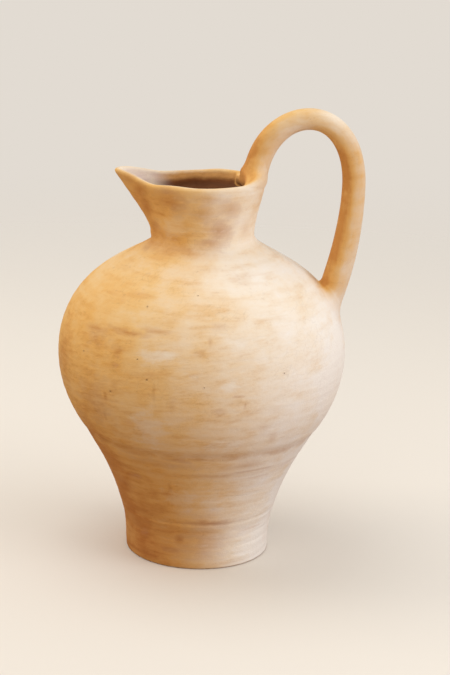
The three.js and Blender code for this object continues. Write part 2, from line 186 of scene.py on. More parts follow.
def section_line():
    marks = {}
    points = []

    def add(more, name):
        points.extend(more if not points else more[1:])
        marks[name] = len(points) - 1

    def side(radius, heights, names):
        for start, end, name in zip(heights, heights[1:], names):
            h = np.linspace(start, end, 200)
            add(np.stack([radius(h), h], 1), name)

    edge = outer_radius(BASE_EDGE)
    add(np.array([[0.0, 0.0], [edge - BASE_EDGE, 0.0]]), "edge_in")
    add(arc((edge - BASE_EDGE, BASE_EDGE), BASE_EDGE, -90, 0), "edge_out")
    side(outer_radius, (BASE_EDGE, WAIST_HEIGHT, LEDGE_HEIGHT, NECK_SEAM, LIP_BASE),
         ("waist_out", "ledge_out", "seam_out", "lip_out"))
    turn = np.linspace(0, math.pi, 41)
    across = (1 - np.cos(turn)) / 2
    out, inn = outer_radius(LIP_BASE), inner_radius(LIP_BASE)
    lip = np.stack([out + (inn - out) * across, LIP_BASE + LIP_ROUND * np.sin(turn)], 1)
    add(lip[:21], "lip_top")
    add(lip[20:], "lip_in")
    floor_side = FLOOR_TOP + FLOOR_FILLET
    side(inner_radius, (LIP_BASE, NECK_SEAM, LEDGE_HEIGHT, WAIST_HEIGHT, floor_side),
         ("seam_in", "ledge_in", "waist_in", "fillet_top"))
    flat = inner_radius(floor_side) - FLOOR_FILLET
    add(arc((flat, floor_side), FLOOR_FILLET, 0, -90), "fillet_end")
    add(np.array([[flat, FLOOR_TOP], [0.0, FLOOR_TOP]]), "centre")
    points = np.array(points)
    places = lengths_along(points)
    return points, places, {name: places[i] for name, i in marks.items()}


SECTION, PLACES, MARK = section_line()


def section_at(place):
    return np.interp(place, PLACES, SECTION[:, 0]), np.interp(place, PLACES, SECTION[:, 1])


# Soft random relief from a lattice, the same on every run
def lattice(points, size, seed):
    """Smooth noise from -1 to 1 with features about as large as size."""
    q = np.asarray(points, float) / np.asarray(size, float) + 37.0 * seed
    cell = np.floor(q).astype(np.int64)
    part = smooth(q - cell)
    total = 0.0
    for dx, dy, dz in np.ndindex(2, 2, 2):
        n = (cell[..., 0] + dx) * 374761393 + (cell[..., 1] + dy) * 668265263
        n += (cell[..., 2] + dz) * 2147483647 + seed * 1274126177
        n = (n ^ (n >> 13)) * 1103515245 & 0xFFFFFFFF
        n = (n ^ (n >> 16)) & 0xFFFF
        x, y, z = (part[..., k] if d else 1 - part[..., k] for k, d in enumerate((dx, dy, dz)))
        total += x * y * z * (n / 32767.5 - 1)
    return total


# Spout: the angle that its straight sides open over, by height on the round part
def spout_table():
    ridge, _ = bezier(
        (THROAT_RADIUS + THROAT_SWELL, THROAT_HEIGHT), 0,
        (SPOUT_REACH, RIM_HEIGHT + SPOUT_RISE), SPOUT_LEAN, *RIDGE_TENSIONS, 120)
    height = np.linspace(NECK_SEAM, RIM_HEIGHT, 120)
    top = RIM_HEIGHT + SPOUT_RISE
    stretched = NECK_SEAM + (top - NECK_SEAM) * (height - NECK_SEAM) / (RIM_HEIGHT - NECK_SEAM)
    swell = THROAT_SWELL * rise(NECK_SEAM, THROAT_HEIGHT, stretched)
    around = outer_radius(height)
    front = np.where(
        stretched > THROAT_HEIGHT, np.interp(stretched, ridge[:, 1], ridge[:, 0]), around + swell)
    return height, np.arccos(np.minimum(1, around / np.maximum(front, around)))


SPOUT_HEIGHTS, SPOUT_ANGLES = spout_table()


def wrap(turn):
    return (turn + math.pi) % (2 * math.pi) - math.pi


def spout_share(height, turn):
    open_by = np.interp(height, SPOUT_HEIGHTS, SPOUT_ANGLES)
    soft = SPOUT_ROUND / SPOUT_REACH
    away = np.hypot(wrap(turn), soft)
    return 1 / np.cos(np.maximum(0, open_by + soft - away))


# The rim's own unevenness: height in mm at turns from the spout, + on the near side
RIM_WAVE = (
    (-180, 0.6), (-113, 0.8), (-102, 0.9), (-86, -0.5), (-70, -0.8), (-59, -0.7), (-41, 0.0),
    (-26, 1.5), (-14, 1.2), (0, 0.5), (13, -0.2), (21, -0.6), (29, -0.9), (40, -0.2),
    (50, 0.6), (63, 1.0), (79, 0.6), (98, 0.9), (114, 1.3), (128, 1.6), (180, 0.6),
)


def wave_table():
    turns = np.arange(-180, 181)
    heights = np.interp(turns, *zip(*RIM_WAVE))
    ring = np.concatenate([heights[:-1]] * 3)
    kernel = bump(np.arange(-15, 16), 0, 5.0)
    even = np.convolve(ring, kernel / kernel.sum(), "same")
    return turns, np.append(even[360:720], even[360])


WAVE_TURNS, WAVE_HEIGHTS = wave_table()


def rim_height(turn):
    forward = RIM_RADIUS * spout_share(RIM_HEIGHT, turn) * np.cos(turn)
    lift = SPOUT_RISE * rise(SPOUT_FOLD, SPOUT_REACH, forward)
    return RIM_HEIGHT + lift


def rim_wave(turn, height):
    """How far the rim's waves lift a place of the neck."""
    part = np.clip((height - NECK_SEAM) / (RIM_HEIGHT - NECK_SEAM), 0, 1)
    return np.interp(np.degrees(wrap(turn)), WAVE_TURNS, WAVE_HEIGHTS) * part ** 2


def skin_base(place, turn):
    """A point of the smooth skin, by its place along the section and its turn."""
    radius, height = section_at(place)
    share = spout_share(np.clip(height, NECK_SEAM, RIM_HEIGHT), turn)
    up = (rim_height(turn) - NECK_SEAM) / (RIM_HEIGHT - NECK_SEAM)
    raised = NECK_SEAM + (height - NECK_SEAM) * up + rim_wave(turn, height)
    z = np.where(height > NECK_SEAM, raised, height)
    r = radius * np.where(height > NECK_SEAM, share, 1)
    return np.stack([-r * np.cos(turn), -r * np.sin(turn), z], -1), height


def outer_marks(points, height, turn, broad, local, streak):
    """Throwing rings, the step under the ledge and the turned lines."""
    fine = lattice(points, (16, 16, 2.6), 4)
    ring = np.sin(2 * math.pi * height / RING_PITCH + turn + 2.2 * broad)
    patchy = 0.5 + 0.5 * lattice(points, (40, 40, 20), 5)
    out = -0.12 + 0.22 * broad + 0.1 * local + 0.07 * ring * patchy
    out = out + 0.07 * streak + 0.035 * fine
    below = LEDGE_HEIGHT + 0.5 * local + 0.4 * lattice(points, 45, 6) - height
    out -= LEDGE_STEP * rise(-2.2, 2.8, below) * (1 - rise(2.8, 15, below))
    line = LINE_HEIGHT + 0.5 * local
    out -= LINE_DEPTH * bump(height, line, 1.7) * patchy
    out += LINE_DEPTH * bump(height, line + 3.2, 2.2) * patchy
    out -= WAIST_DEPTH * bump(height, WAIST_LINE + 0.4 * local, 1.5)
    for middle, depth in FOOT_LINES:
        out -= depth * bump(height, middle + 0.9 * local, 0.9) * patchy
    return out - NECK_DEPTH * bump(height, NECK_LINE + 0.5 * local, 1.6)


def inner_marks(points, height, place, turn, broad, local):
    """Finger grooves inside the wall, and a spiral of them on the floor."""
    groove = np.sin(2 * math.pi * height / GROOVE_PITCH + turn + 1.1 * broad)
    spiral = np.sin(2 * math.pi * np.hypot(points[..., 0], points[..., 1]) / FLOOR_PITCH + turn)
    on_floor = rise(MARK["fillet_top"], MARK["fillet_end"], place)
    return 0.225 * broad + 0.108 * local + 0.378 * np.where(on_floor > 0.5, spiral, groove)


def wire_marks(points, local, streak):
    """Faint curved marks of the wire that cut the foot from the wheel."""
    cut = np.hypot(points[..., 0] - WIRE_X, points[..., 1] - WIRE_Y)
    return -0.22 - 0.12 * np.sin(2 * math.pi * cut / WIRE_PITCH + 1.5 * local) - 0.08 * streak


def skin_relief(points, height, place, turn):
    """Marks of throwing and turning, in mm out of the surface."""
    outside = rise(MARK["edge_out"], MARK["edge_out"] + 3, place) * (
        1 - rise(MARK["lip_out"] - 2, MARK["lip_top"], place))
    inside = rise(MARK["lip_in"], MARK["lip_in"] + 8, place) * (
        1 - rise(MARK["centre"] - 6, MARK["centre"] - 1, place))
    under = 1 - rise(MARK["edge_in"] - 7, MARK["edge_in"] - 3, place)
    broad = lattice(points, 62, 1)
    local = lattice(points, 24, 2)
    streak = lattice(points, (30, 30, 4.5), 3)
    return (
        outside * outer_marks(points, height, turn, broad, local, streak)
        + inside * inner_marks(points, height, place, turn, broad, local)
        + under * wire_marks(points, local, streak))


def directions(surface, first, second, d_first, d_second, low, high):
    """Outward directions of a surface of two values, by small differences."""
    first, second = paired(first, second)
    a = surface(np.clip(first + d_first, low, high), second)
    a -= surface(np.clip(first - d_first, low, high), second)
    middle = np.clip(first, low, high)
    b = surface(middle, second + d_second) - surface(middle, second - d_second)
    return unit(np.cross(b, a))


def skin(place, turn):
    """A point of the thrown skin with its relief."""
    place, turn = paired(place, turn)
    points, height = skin_base(place, turn)
    normal = directions(
        lambda s, a: skin_base(s, a)[0], place, turn, 0.35, 0.008,
        AXIS_GAP, PLACES[-1] - AXIS_GAP)
    return points + normal * skin_relief(points, height, place, turn)[..., None]


def skin_normal(place, turn):
    return directions(skin, place, turn, 0.5, 0.01, 0.5, PLACES[-1] - 0.5)


# Handle: its line in the plane y = 0, by length, with its direction
def handle_line():
    root = np.array(HANDLE_ROOT)
    foot = np.array([outer_radius(HANDLE_FOOT_HEIGHT), HANDLE_FOOT_HEIGHT])
    tongue = root - lean_way(ROOT_WAY) * TONGUE_DEPTH
    sunk = foot + lean_way(FOOT_WAY) * SUNK_DEPTH
    parts = [
        np.linspace(tongue, root, 20),
        bezier(root, ROOT_WAY, HANDLE_TOP, 90, ROOT_TENSION)[0],
        bezier(HANDLE_TOP, 90, HANDLE_SIDE, 180, last=SIDE_TENSION)[0],
        bezier(HANDLE_SIDE, 180, foot, FOOT_WAY)[0],
        np.linspace(foot, sunk, 20),
    ]
    points, marks = [parts[0][0]], [0]
    for part in parts:
        points.extend(part[1:])
        marks.append(len(points) - 1)
    points = np.array(points)
    lengths = lengths_along(points)
    return points, unit(np.gradient(points, lengths, axis=0)), lengths, lengths[marks]


BAR, BAR_WAY, BAR_LENGTHS, BAR_MARKS = handle_line()


def bar_thickness(length):
    k = np.clip(np.searchsorted(BAR_MARKS, length) - 1, 0, len(BAR_MARKS) - 2)
    share = smooth((length - BAR_MARKS[k]) / (BAR_MARKS[k + 1] - BAR_MARKS[k]))
    thick = np.array(HANDLE_THICK)
    return thick[k] + (thick[k + 1] - thick[k]) * share


def pull_place(length, turn):
    """A place on the handle as if it lay straight, for patterns along it."""
    radius = 9
    return np.stack([length, radius * np.cos(turn), radius * np.sin(turn)], -1)


def bar_relief(length, turn, points):
    """Flutes and dents of the pulling hand, in mm out of the skin."""
    flute = 0.16 * np.cos(3 * turn + 0.9) + 0.1 * np.cos(5 * turn - 0.6 + length / 160)
    dents = 0.3 * lattice(points, 26, 11)
    streaks = 0.13 * lattice(pull_place(length / 3.5, turn), 6.5, 12)
    return flute + dents + streaks - 0.15


def bar(length, turn):
    """A point of the handle's skin: length along it, turn round it from the loop's inside."""
    length, turn = paired(length, turn)
    cx, cz = (np.interp(length, BAR_LENGTHS, BAR[:, i]) for i in (0, 1))
    wx, wz = (np.interp(length, BAR_LENGTHS, BAR_WAY[:, i]) for i in (0, 1))
    half = bar_thickness(length) / 2
    across = half * np.cos(turn)
    points = np.stack(
        [cx + wz * across, half * HANDLE_WIDTH * np.sin(turn), cz - wx * across], -1)
    out = np.stack([wz * np.cos(turn), np.sin(turn), -wx * np.cos(turn)], -1)
    return points + out * bar_relief(length, turn, points)[..., None]


def bar_normal(length, turn):
    return directions(bar, length, turn, 0.6, 0.06, 0, BAR_LENGTHS[-1])


def bar_field(points, first, last):
    """Distance from the handle's skin between two lengths along it."""
    pick = np.flatnonzero((BAR_LENGTHS >= first) & (BAR_LENGTHS <= last))
    line, way = BAR[pick], BAR_WAY[pick]
    flat = points[:, (0, 2)]
    nearest = np.empty(len(points), int)
    batch = 20000
    for start in range(0, len(points), batch):
        away = flat[start:start + batch, None] - line[None]
        nearest[start:start + batch] = np.argmin((away ** 2).sum(-1), 1)
    off, way = flat - line[nearest], way[nearest]
    raw = BAR_LENGTHS[pick][nearest] + (off * way).sum(-1)
    length = np.clip(raw, 0, BAR_LENGTHS[-1])
    across = off[:, 0] * way[:, 1] - off[:, 1] * way[:, 0]
    side = points[:, 1] / HANDLE_WIDTH
    turn = np.arctan2(side, across)
    value = np.hypot(across, side) - bar_thickness(length) / 2
    close = np.abs(value) < RELIEF_FAR
    relief = bar_relief(length[close], turn[close], points[close])
    value[close] -= relief * (1 - rise(RELIEF_NEAR, RELIEF_FAR, np.abs(value[close])))
    return np.maximum(value, -raw), turn, length


def hand_values(points):
    """How far a point is thrown wall, and its place along and round the handle."""
    thrown, pulled = np.ones(len(points)), np.array(points)
    near = np.flatnonzero(points[:, 0] > 0)
    value, turn, length = bar_field(points[near], 0, BAR_LENGTHS[-1])
    thrown[near] = rise(0, 18, value)
    pulled[near] = pull_place(length, turn)
    return thrown, pulled


def add_object(name, data):
    made = bpy.data.objects.new(name, data)
    bpy.context.scene.collection.objects.link(made)
    return made


# Meshes, with the surface's own directions for the shading
def add_mesh(name, points, faces, smooth_faces, normals, depth, replaced):
    mesh = bpy.data.meshes.new(name)
    mesh.from_pydata((points * MM).tolist(), [], faces)
    mesh.update()
    mesh.polygons.foreach_set("use_smooth", smooth_faces)
    loops = np.zeros(len(mesh.loops), np.int32)
    mesh.loops.foreach_get("vertex_index", loops)
    kept = np.repeat(smooth_faces, [len(f) for f in faces])[:, None]
    mesh.normals_split_custom_set((normals[loops] * kept).tolist())
    thrown, pulled = hand_values(points)
    for key, kind, field, values in (
        ("inner_depth", "FLOAT", "value", depth * MM),
        ("thrown", "FLOAT", "value", thrown),
        ("pulled", "FLOAT_VECTOR", "vector", pulled * MM),
    ):
        attribute = mesh.attributes.new(key, kind, "POINT")
        attribute.data.foreach_set(field, np.ravel(values).astype(np.float32))
    piece = add_object(name, mesh)
    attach(piece, "root")
    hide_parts(replaced)
    return piece


def grid_piece(name, rows, normals, depth, replaced, breaks=(), closed=False, poles=()):
    """Rows of points round a turn. breaks are bands drawn flat, poles are end points."""
    count, around = rows.shape[:2]
    points = rows.reshape(-1, 3)
    normals = normals.reshape(-1, 3)
    depth = np.broadcast_to(depth, (count, around)).reshape(-1)
    faces, smooth_faces = [], []
    for i in range(count if closed else count - 1):
        k = (i + 1) % count
        for j in range(around):
            n = (j + 1) % around
            faces.append((i * around + j, i * around + n, k * around + n, k * around + j))
            smooth_faces.append(i not in breaks)
    for row, flip, point, normal in poles:
        points = np.vstack([points, point])
        normals = np.vstack([normals, normal])
        depth = np.append(depth, depth[row * around])
        middle = len(points) - 1
        for j in range(around):
            a, b = row * around + j, row * around + (j + 1) % around
            faces.append((middle, a, b) if flip else (middle, b, a))
            smooth_faces.append(bool(np.any(normal)))
    return add_mesh(name, points, faces, smooth_faces, normals, depth, replaced)


# Turns round the jug, closer together at the spout
COLUMNS, CROWDING = 320, 0.45
EVEN_TURNS = 2 * math.pi * np.arange(COLUMNS) / COLUMNS - math.pi
TURNS = EVEN_TURNS - CROWDING * np.sin(EVEN_TURNS)


def span(start, end, spacing):
    """Places from one mark of the section to another."""
    a, b = (MARK.get(m, m) for m in (start, end))
    return np.linspace(a, b, max(2, int(round(abs(b - a) / spacing)) + 1))


def run(*stretches):
    """Stretches of start, end and spacing, one after the other."""
    parts = [span(*stretch) for stretch in stretches]
    return np.concatenate(parts[:1] + [part[1:] for part in parts[1:]])


def skin_piece(name, runs, replaced, poles=False):
    """A thrown section: runs of places, joined by flat bands where one run ends."""
    places = np.concatenate(runs)
    ends = np.cumsum([len(part) for part in runs]) - 1
    rows = skin(places[:, None], TURNS)
    normals = skin_normal(places[:, None], TURNS)
    widest = np.hypot(rows[..., 0], rows[..., 1])
    rows[..., :2] *= np.minimum(1, BELLY_RADIUS / np.maximum(widest, 1))[..., None]
    caps = []
    if poles:
        up = np.array([0, 0, 1])
        caps = [
            (0, False, skin([AXIS_GAP], [0.0]) * up, -up),
            (len(places) - 1, True, skin([PLACES[-1] - AXIS_GAP], [0.0]) * up, up)]
    depth = np.maximum(0, places - MARK["lip_top"])[:, None]
    return grid_piece(
        name, rows, normals, depth, replaced, breaks=ends.tolist(),
        closed=not poles, poles=caps)


OUT_STEP, IN_STEP = 1.4, 3.0
foot = skin_piece("foot_clay", [
    run((1.4, "edge_in", 1.5), ("edge_in", "edge_out", 0.45), ("edge_out", "waist_out", OUT_STEP)),
    run(("waist_in", "fillet_top", IN_STEP), ("fillet_top", "fillet_end", 1.6),
        ("fillet_end", PLACES[-1] - 1.6, 2.0)),
], "foot", poles=True)
lower = skin_piece("lower_body_clay", [
    span("waist_out", "ledge_out", OUT_STEP), span("ledge_in", "waist_in", IN_STEP),
], "lower_body")
belly = skin_piece("belly_clay", [
    span("ledge_out", "seam_out", OUT_STEP), span("seam_in", "ledge_in", IN_STEP),
], "belly")
neck = skin_piece("neck_clay", [
    run(("seam_out", "lip_out", 1.2), ("lip_out", "lip_top", 0.6), ("lip_top", "lip_in", 0.6),
        ("lip_in", "seam_in", 2.0)),
], "neck")


# Where a line down the handle's skin meets the shoulder
BAR_TURNS = 2 * math.pi * np.arange(64) / 64


def shoulder_meeting(turns):
    outside = np.full(len(turns), BAR_MARKS[3])
    inside = np.full(len(turns), BAR_LENGTHS[-1])
    for _ in range(36):
        half = (outside + inside) / 2
        p = bar(half, turns)
        clear = np.hypot(p[:, 0], p[:, 1]) > outer_radius(p[:, 2])
        outside, inside = np.where(clear, half, outside), np.where(clear, inside, half)
    return inside


MEETING = shoulder_meeting(BAR_TURNS)


def handle_piece():
    start, sunk = 5.0, 1.2
    share = np.linspace(0, 1, 200)[:, None]
    lengths = start + share * (MEETING + sunk - start)
    rows = bar(lengths, BAR_TURNS)
    rows[..., 2] = np.minimum(rows[..., 2], HANDLE_CREST)
    normals = bar_normal(lengths, BAR_TURNS)
    poles = [
        (0, False, rows[0].mean(0), (0, 0, 0)),
        (len(rows) - 1, True, rows[-1].mean(0), (0, 0, 0))]
    return grid_piece(
        "handle_clay", rows, normals, 0.0, "handle", poles=poles)


handle = handle_piece()


# Joints: the clay between two shapes, found as the zero level of a blended distance
def blend(a, b, size):
    """The lesser of two distances, rounded over size where they meet."""
    near = np.maximum(size - np.abs(a - b), 0) / size
    return np.minimum(a, b) - near ** 3 * size / 6


def section_table(first, last):
    k = (PLACES >= MARK[first] - 1e-6) & (PLACES <= MARK[last] + 1e-6)
    return SECTION[k, 1], PLACES[k]


OUT_HEIGHTS, OUT_PLACES = section_table("edge_out", "lip_out")
IN_HEIGHTS, IN_PLACES = section_table("lip_in", "fillet_top")
LIP_PLACES = section_table("lip_out", "lip_in")[1]


def wall_field(points, raised=0.0):
    """Distance from the thrown wall, with its crest raised by some mm."""
    x, y, z = points.T
    r = np.hypot(x, y)
    turn = np.arctan2(-y, -x)
    h = z - rim_wave(turn, z)
    low = np.minimum(h, LIP_BASE)
    out, inn = outer_radius(low), inner_radius(low)
    slope = np.where(h > LIP_BASE, 0, outer_radius(low + 0.5) - outer_radius(low - 0.5))
    middle, half = (out + inn) / 2, (out - inn) / 2
    flat = (np.abs(r - middle) - half) / np.hypot(1, slope)

    # The lip's section is half an ellipse, whose distance is a close estimate
    over = np.maximum(h - LIP_BASE - raised, 0)
    ex, ez = (r - middle) / half, over / LIP_ROUND
    reach = np.hypot(ex, ez)
    steep = np.maximum(np.hypot(ex / half, ez / LIP_ROUND), 1e-9)
    value = np.where(over > 0, reach * (reach - 1) / steep, flat)

    close = np.abs(value) < RELIEF_FAR
    place = np.where(
        r > middle, np.interp(low, OUT_HEIGHTS, OUT_PLACES),
        np.interp(-low, -IN_HEIGHTS, IN_PLACES))
    lip = np.interp(np.arctan2(ez, ex), np.linspace(0, math.pi, len(LIP_PLACES)), LIP_PLACES)
    place = np.where(over > 0, lip, place)
    relief = skin_relief(points[close], h[close], place[close], turn[close])
    value[close] -= relief * (1 - rise(RELIEF_NEAR, RELIEF_FAR, np.abs(value[close])))
    return value


def nets(field, low, high, cell):
    """Quads over the zero level of a field, one corner for each cell that it crosses."""
    axes = [np.arange(a, b + cell, cell) for a, b in zip(low, high)]
    grid = np.stack(np.meshgrid(*axes, indexing="ij"), -1)
    value = field(grid.reshape(-1, 3)).reshape(grid.shape[:3])
    nx, ny, nz = (n - 1 for n in value.shape)

    def corner(data, o):
        return data[o[0]:o[0] + nx, o[1]:o[1] + ny, o[2]:o[2] + nz]

    total, count = np.zeros((nx, ny, nz, 3)), np.zeros((nx, ny, nz))
    for axis in range(3):
        for k in range(4):
            a = [0, 0, 0]
            a[(axis + 1) % 3], a[(axis + 2) % 3] = k & 1, k >> 1
            b = list(a)
            b[axis] = 1
            va, vb = corner(value, a), corner(value, b)
            cut = (va < 0) != (vb < 0)
            share = np.where(cut, va / np.where(cut, va - vb, 1), 0)[..., None]
            pa, pb = corner(grid, a), corner(grid, b)
            total += np.where(cut[..., None], pa + (pb - pa) * share, 0)
            count += cut
    mixed = count > 0
    index = np.full(mixed.shape, -1)
    index[mixed] = np.arange(mixed.sum())
    points = total[mixed] / count[mixed][:, None]
    quads = []
    for axis in range(3):
        v, w = (axis + 1) % 3, (axis + 2) % 3
        first = np.moveaxis(value, (axis, v, w), (0, 1, 2))
        cells = np.moveaxis(index, (axis, v, w), (0, 1, 2))
        a, b = first[:-1, 1:-1, 1:-1] < 0, first[1:, 1:-1, 1:-1] < 0
        four = np.stack([
            cells[:, :-1, :-1], cells[:, 1:, :-1], cells[:, 1:, 1:], cells[:, :-1, 1:]], -1)
        quads.append(four[a & ~b])
        quads.append(four[~a & b][:, ::-1])
    return points, np.concatenate(quads)


def slopes(field, points, step=0.35):
    """How a field changes along x, y and z at each point."""
    out = np.empty_like(points)
    for k in range(3):
        shift = np.zeros(3)
        shift[k] = step
        out[:, k] = (field(points + shift) - field(points - shift)) / (2 * step)
    return out


def mouth_depth(points):
    """How far a point inside the mouth lies under the lip, in mm."""
    x, y, z = points.T
    within = inner_radius(np.minimum(z, LIP_BASE)) - np.hypot(x, y)
    return np.maximum(0, RIM_HEIGHT + 1 - z) * rise(-0.5, 1.5, within)


def joint_piece(name, fields, region, low, high, cell, replaced):
    """The clay of a joint: proud where it blends, sunk under both shapes elsewhere."""
    sink, show, fade = 0.25, 0.25, 0.6

    def sunk(points):
        own, joined = fields(points)
        proud = np.maximum(own - joined, 0)
        value = joined + sink * (1 - smooth(proud / show))
        return np.maximum(value, region(points))

    def shown(points):
        own, joined = fields(points)
        share = smooth((own - joined) / fade)
        return own + (joined - own) * share

    points, quads = nets(sunk, low, high, cell)
    for _ in range(3):
        value, grad = sunk(points), slopes(sunk, points, 0.2)
        step = value[:, None] * grad / np.maximum((grad ** 2).sum(-1, keepdims=True), 0.2)
        size = np.linalg.norm(step, axis=-1, keepdims=True)
        points -= step * np.minimum(1, 0.5 * cell / np.maximum(size, 1e-9))
    normals = unit(slopes(shown, points))
    # Faces inside the mouth take the inside's colours by their depth under the lip, partly painted
    # shade
    return add_mesh(
        name, points, quads.tolist(), [True] * len(quads), normals, mouth_depth(points),
        replaced)


# Lower joint: its middle and reach, and the size of its fillet
LOWER_MIDDLE, LOWER_STRETCH, LOWER_REACH = (97, 0, 206), (1, 1.02, 0.8), 26.0
LOWER_SIZE = 13.0


def lower_fields(points):
    """Distance from the nearer of wall and handle, and from the two with a fillet."""
    wall = wall_field(points)
    handle, turn, _ = bar_field(points, BAR_MARKS[3] - 40, BAR_LENGTHS[-1])
    out = np.cos(turn)
    size = LOWER_SIZE - 3.0 * np.maximum(0, -out) ** 2 - 5.0 * np.maximum(0, out) ** 2
    return np.minimum(wall, handle), blend(wall, handle, size)


def lower_region(points):
    """Below 0 where the lower joint may be: outside the wall's inner face, in a ball."""
    x, y, z = points.T
    within = inner_radius(z) + 2.2 - np.hypot(x, y)
    ball = np.linalg.norm((points - LOWER_MIDDLE) * LOWER_STRETCH, axis=1) - LOWER_REACH
    return np.maximum(within, ball)


# Upper joint, by degrees from the handle, + on the far side: how far its web raises the rim,
# how thick the lump inside the mouth is, and how far it stands above the rim
WEB_RISE = ((0, 4.5), (12, 4.2), (20, 3.4), (27, 2.5), (34, 1.6), (42, 0.6), (50, 0.0), (180, 0))
LUMP_THICK = (
    (-57, 0.5), (-40, 2.6), (-25, 5.2), (-12, 8.2), (0, 10.2), (12, 10.2), (25, 8.2), (40, 5.6),
    (52, 3.4), (57, 2.2))
LUMP_TOP = (
    (-50, -0.5), (-42, 0.6), (-34, 1.8), (-27, 2.9), (-20, 3.9), (-12, 4.6), (0, 3.6),
    (19, 0.6), (34, -0.4), (52, -1.2))
LUMP_FLOOR, LUMP_END, LUMP_LEAN = 283.5, 54.0, 0.45
UPPER_FLOOR, UPPER_TOP, UPPER_END = 276, 326, 62
MM_PER_DEGREE = 0.6


def by_angle(angle, table):
    return np.interp(angle, *zip(*table))


def upper_lump(points, side):
    """Distance from the clay pressed to the wall inside the mouth."""
    x, y, z = points.T
    r, angle = np.hypot(x, y), np.abs(side)
    inner = inner_radius(np.minimum(z, LIP_BASE))
    thick = by_angle(side, LUMP_THICK) - LUMP_LEAN * np.maximum(0, 291 - z)
    lump = -blend(-(inner - thick - r), -(LUMP_FLOOR + 0.05 * angle - z), 5.0)
    lump = -blend(-lump, -(z - RIM_HEIGHT - by_angle(side, LUMP_TOP)), 3.0)
    lump = np.maximum(lump, r - inner - 2.5)
    return -blend(-lump, -(angle - LUMP_END) * MM_PER_DEGREE, 3.0)


def upper_fields(points):
    """Distance from the nearer of wall and handle, and from them with web and lump."""
    x, y, z = points.T
    side = np.degrees(np.arctan2(y, x))
    wall = wall_field(points)
    handle, turn, _ = bar_field(points, 0, BAR_MARKS[1] + 45)
    web = wall_field(points, by_angle(np.abs(side), WEB_RISE))
    own = np.minimum(wall, handle)
    out = np.cos(turn)
    far = rise(-6, 4, y)
    size = 24.0 - 12.0 * np.maximum(0, -out) ** 2 * far - 19.0 * np.maximum(0, out) ** 1.5
    size *= 0.15 + 0.85 * rise(284, 298, z)
    joined = blend(blend(web, upper_lump(points, side), 3.5), handle, size)
    return own, np.minimum(joined, own)


def upper_region(points):
    """Below 0 where the upper joint may be: near the handle, about the rim."""
    x, y, z = points.T
    reach = (np.degrees(np.abs(np.arctan2(y, x))) - UPPER_END) * MM_PER_DEGREE
    return np.maximum(np.maximum(reach, UPPER_FLOOR - z), z - UPPER_TOP)


lower_web = joint_piece(
    "lower_collar_clay", lower_fields, lower_region, (68, -30, 170), (128, 30, 242), 1.0,
    "lower_handle_collar")
upper_web = joint_piece(
    "upper_collar_clay", upper_fields, upper_region, (12, -46, 274), (64, 46, 328), 0.9,
    "upper_handle_collar")


# Colours and nodes
def srgb(*levels):
    """A colour from levels of 11 to 255."""
    return (*(((v / 255 + 0.055) / 1.055) ** 2.4 for v in levels), 1.0)


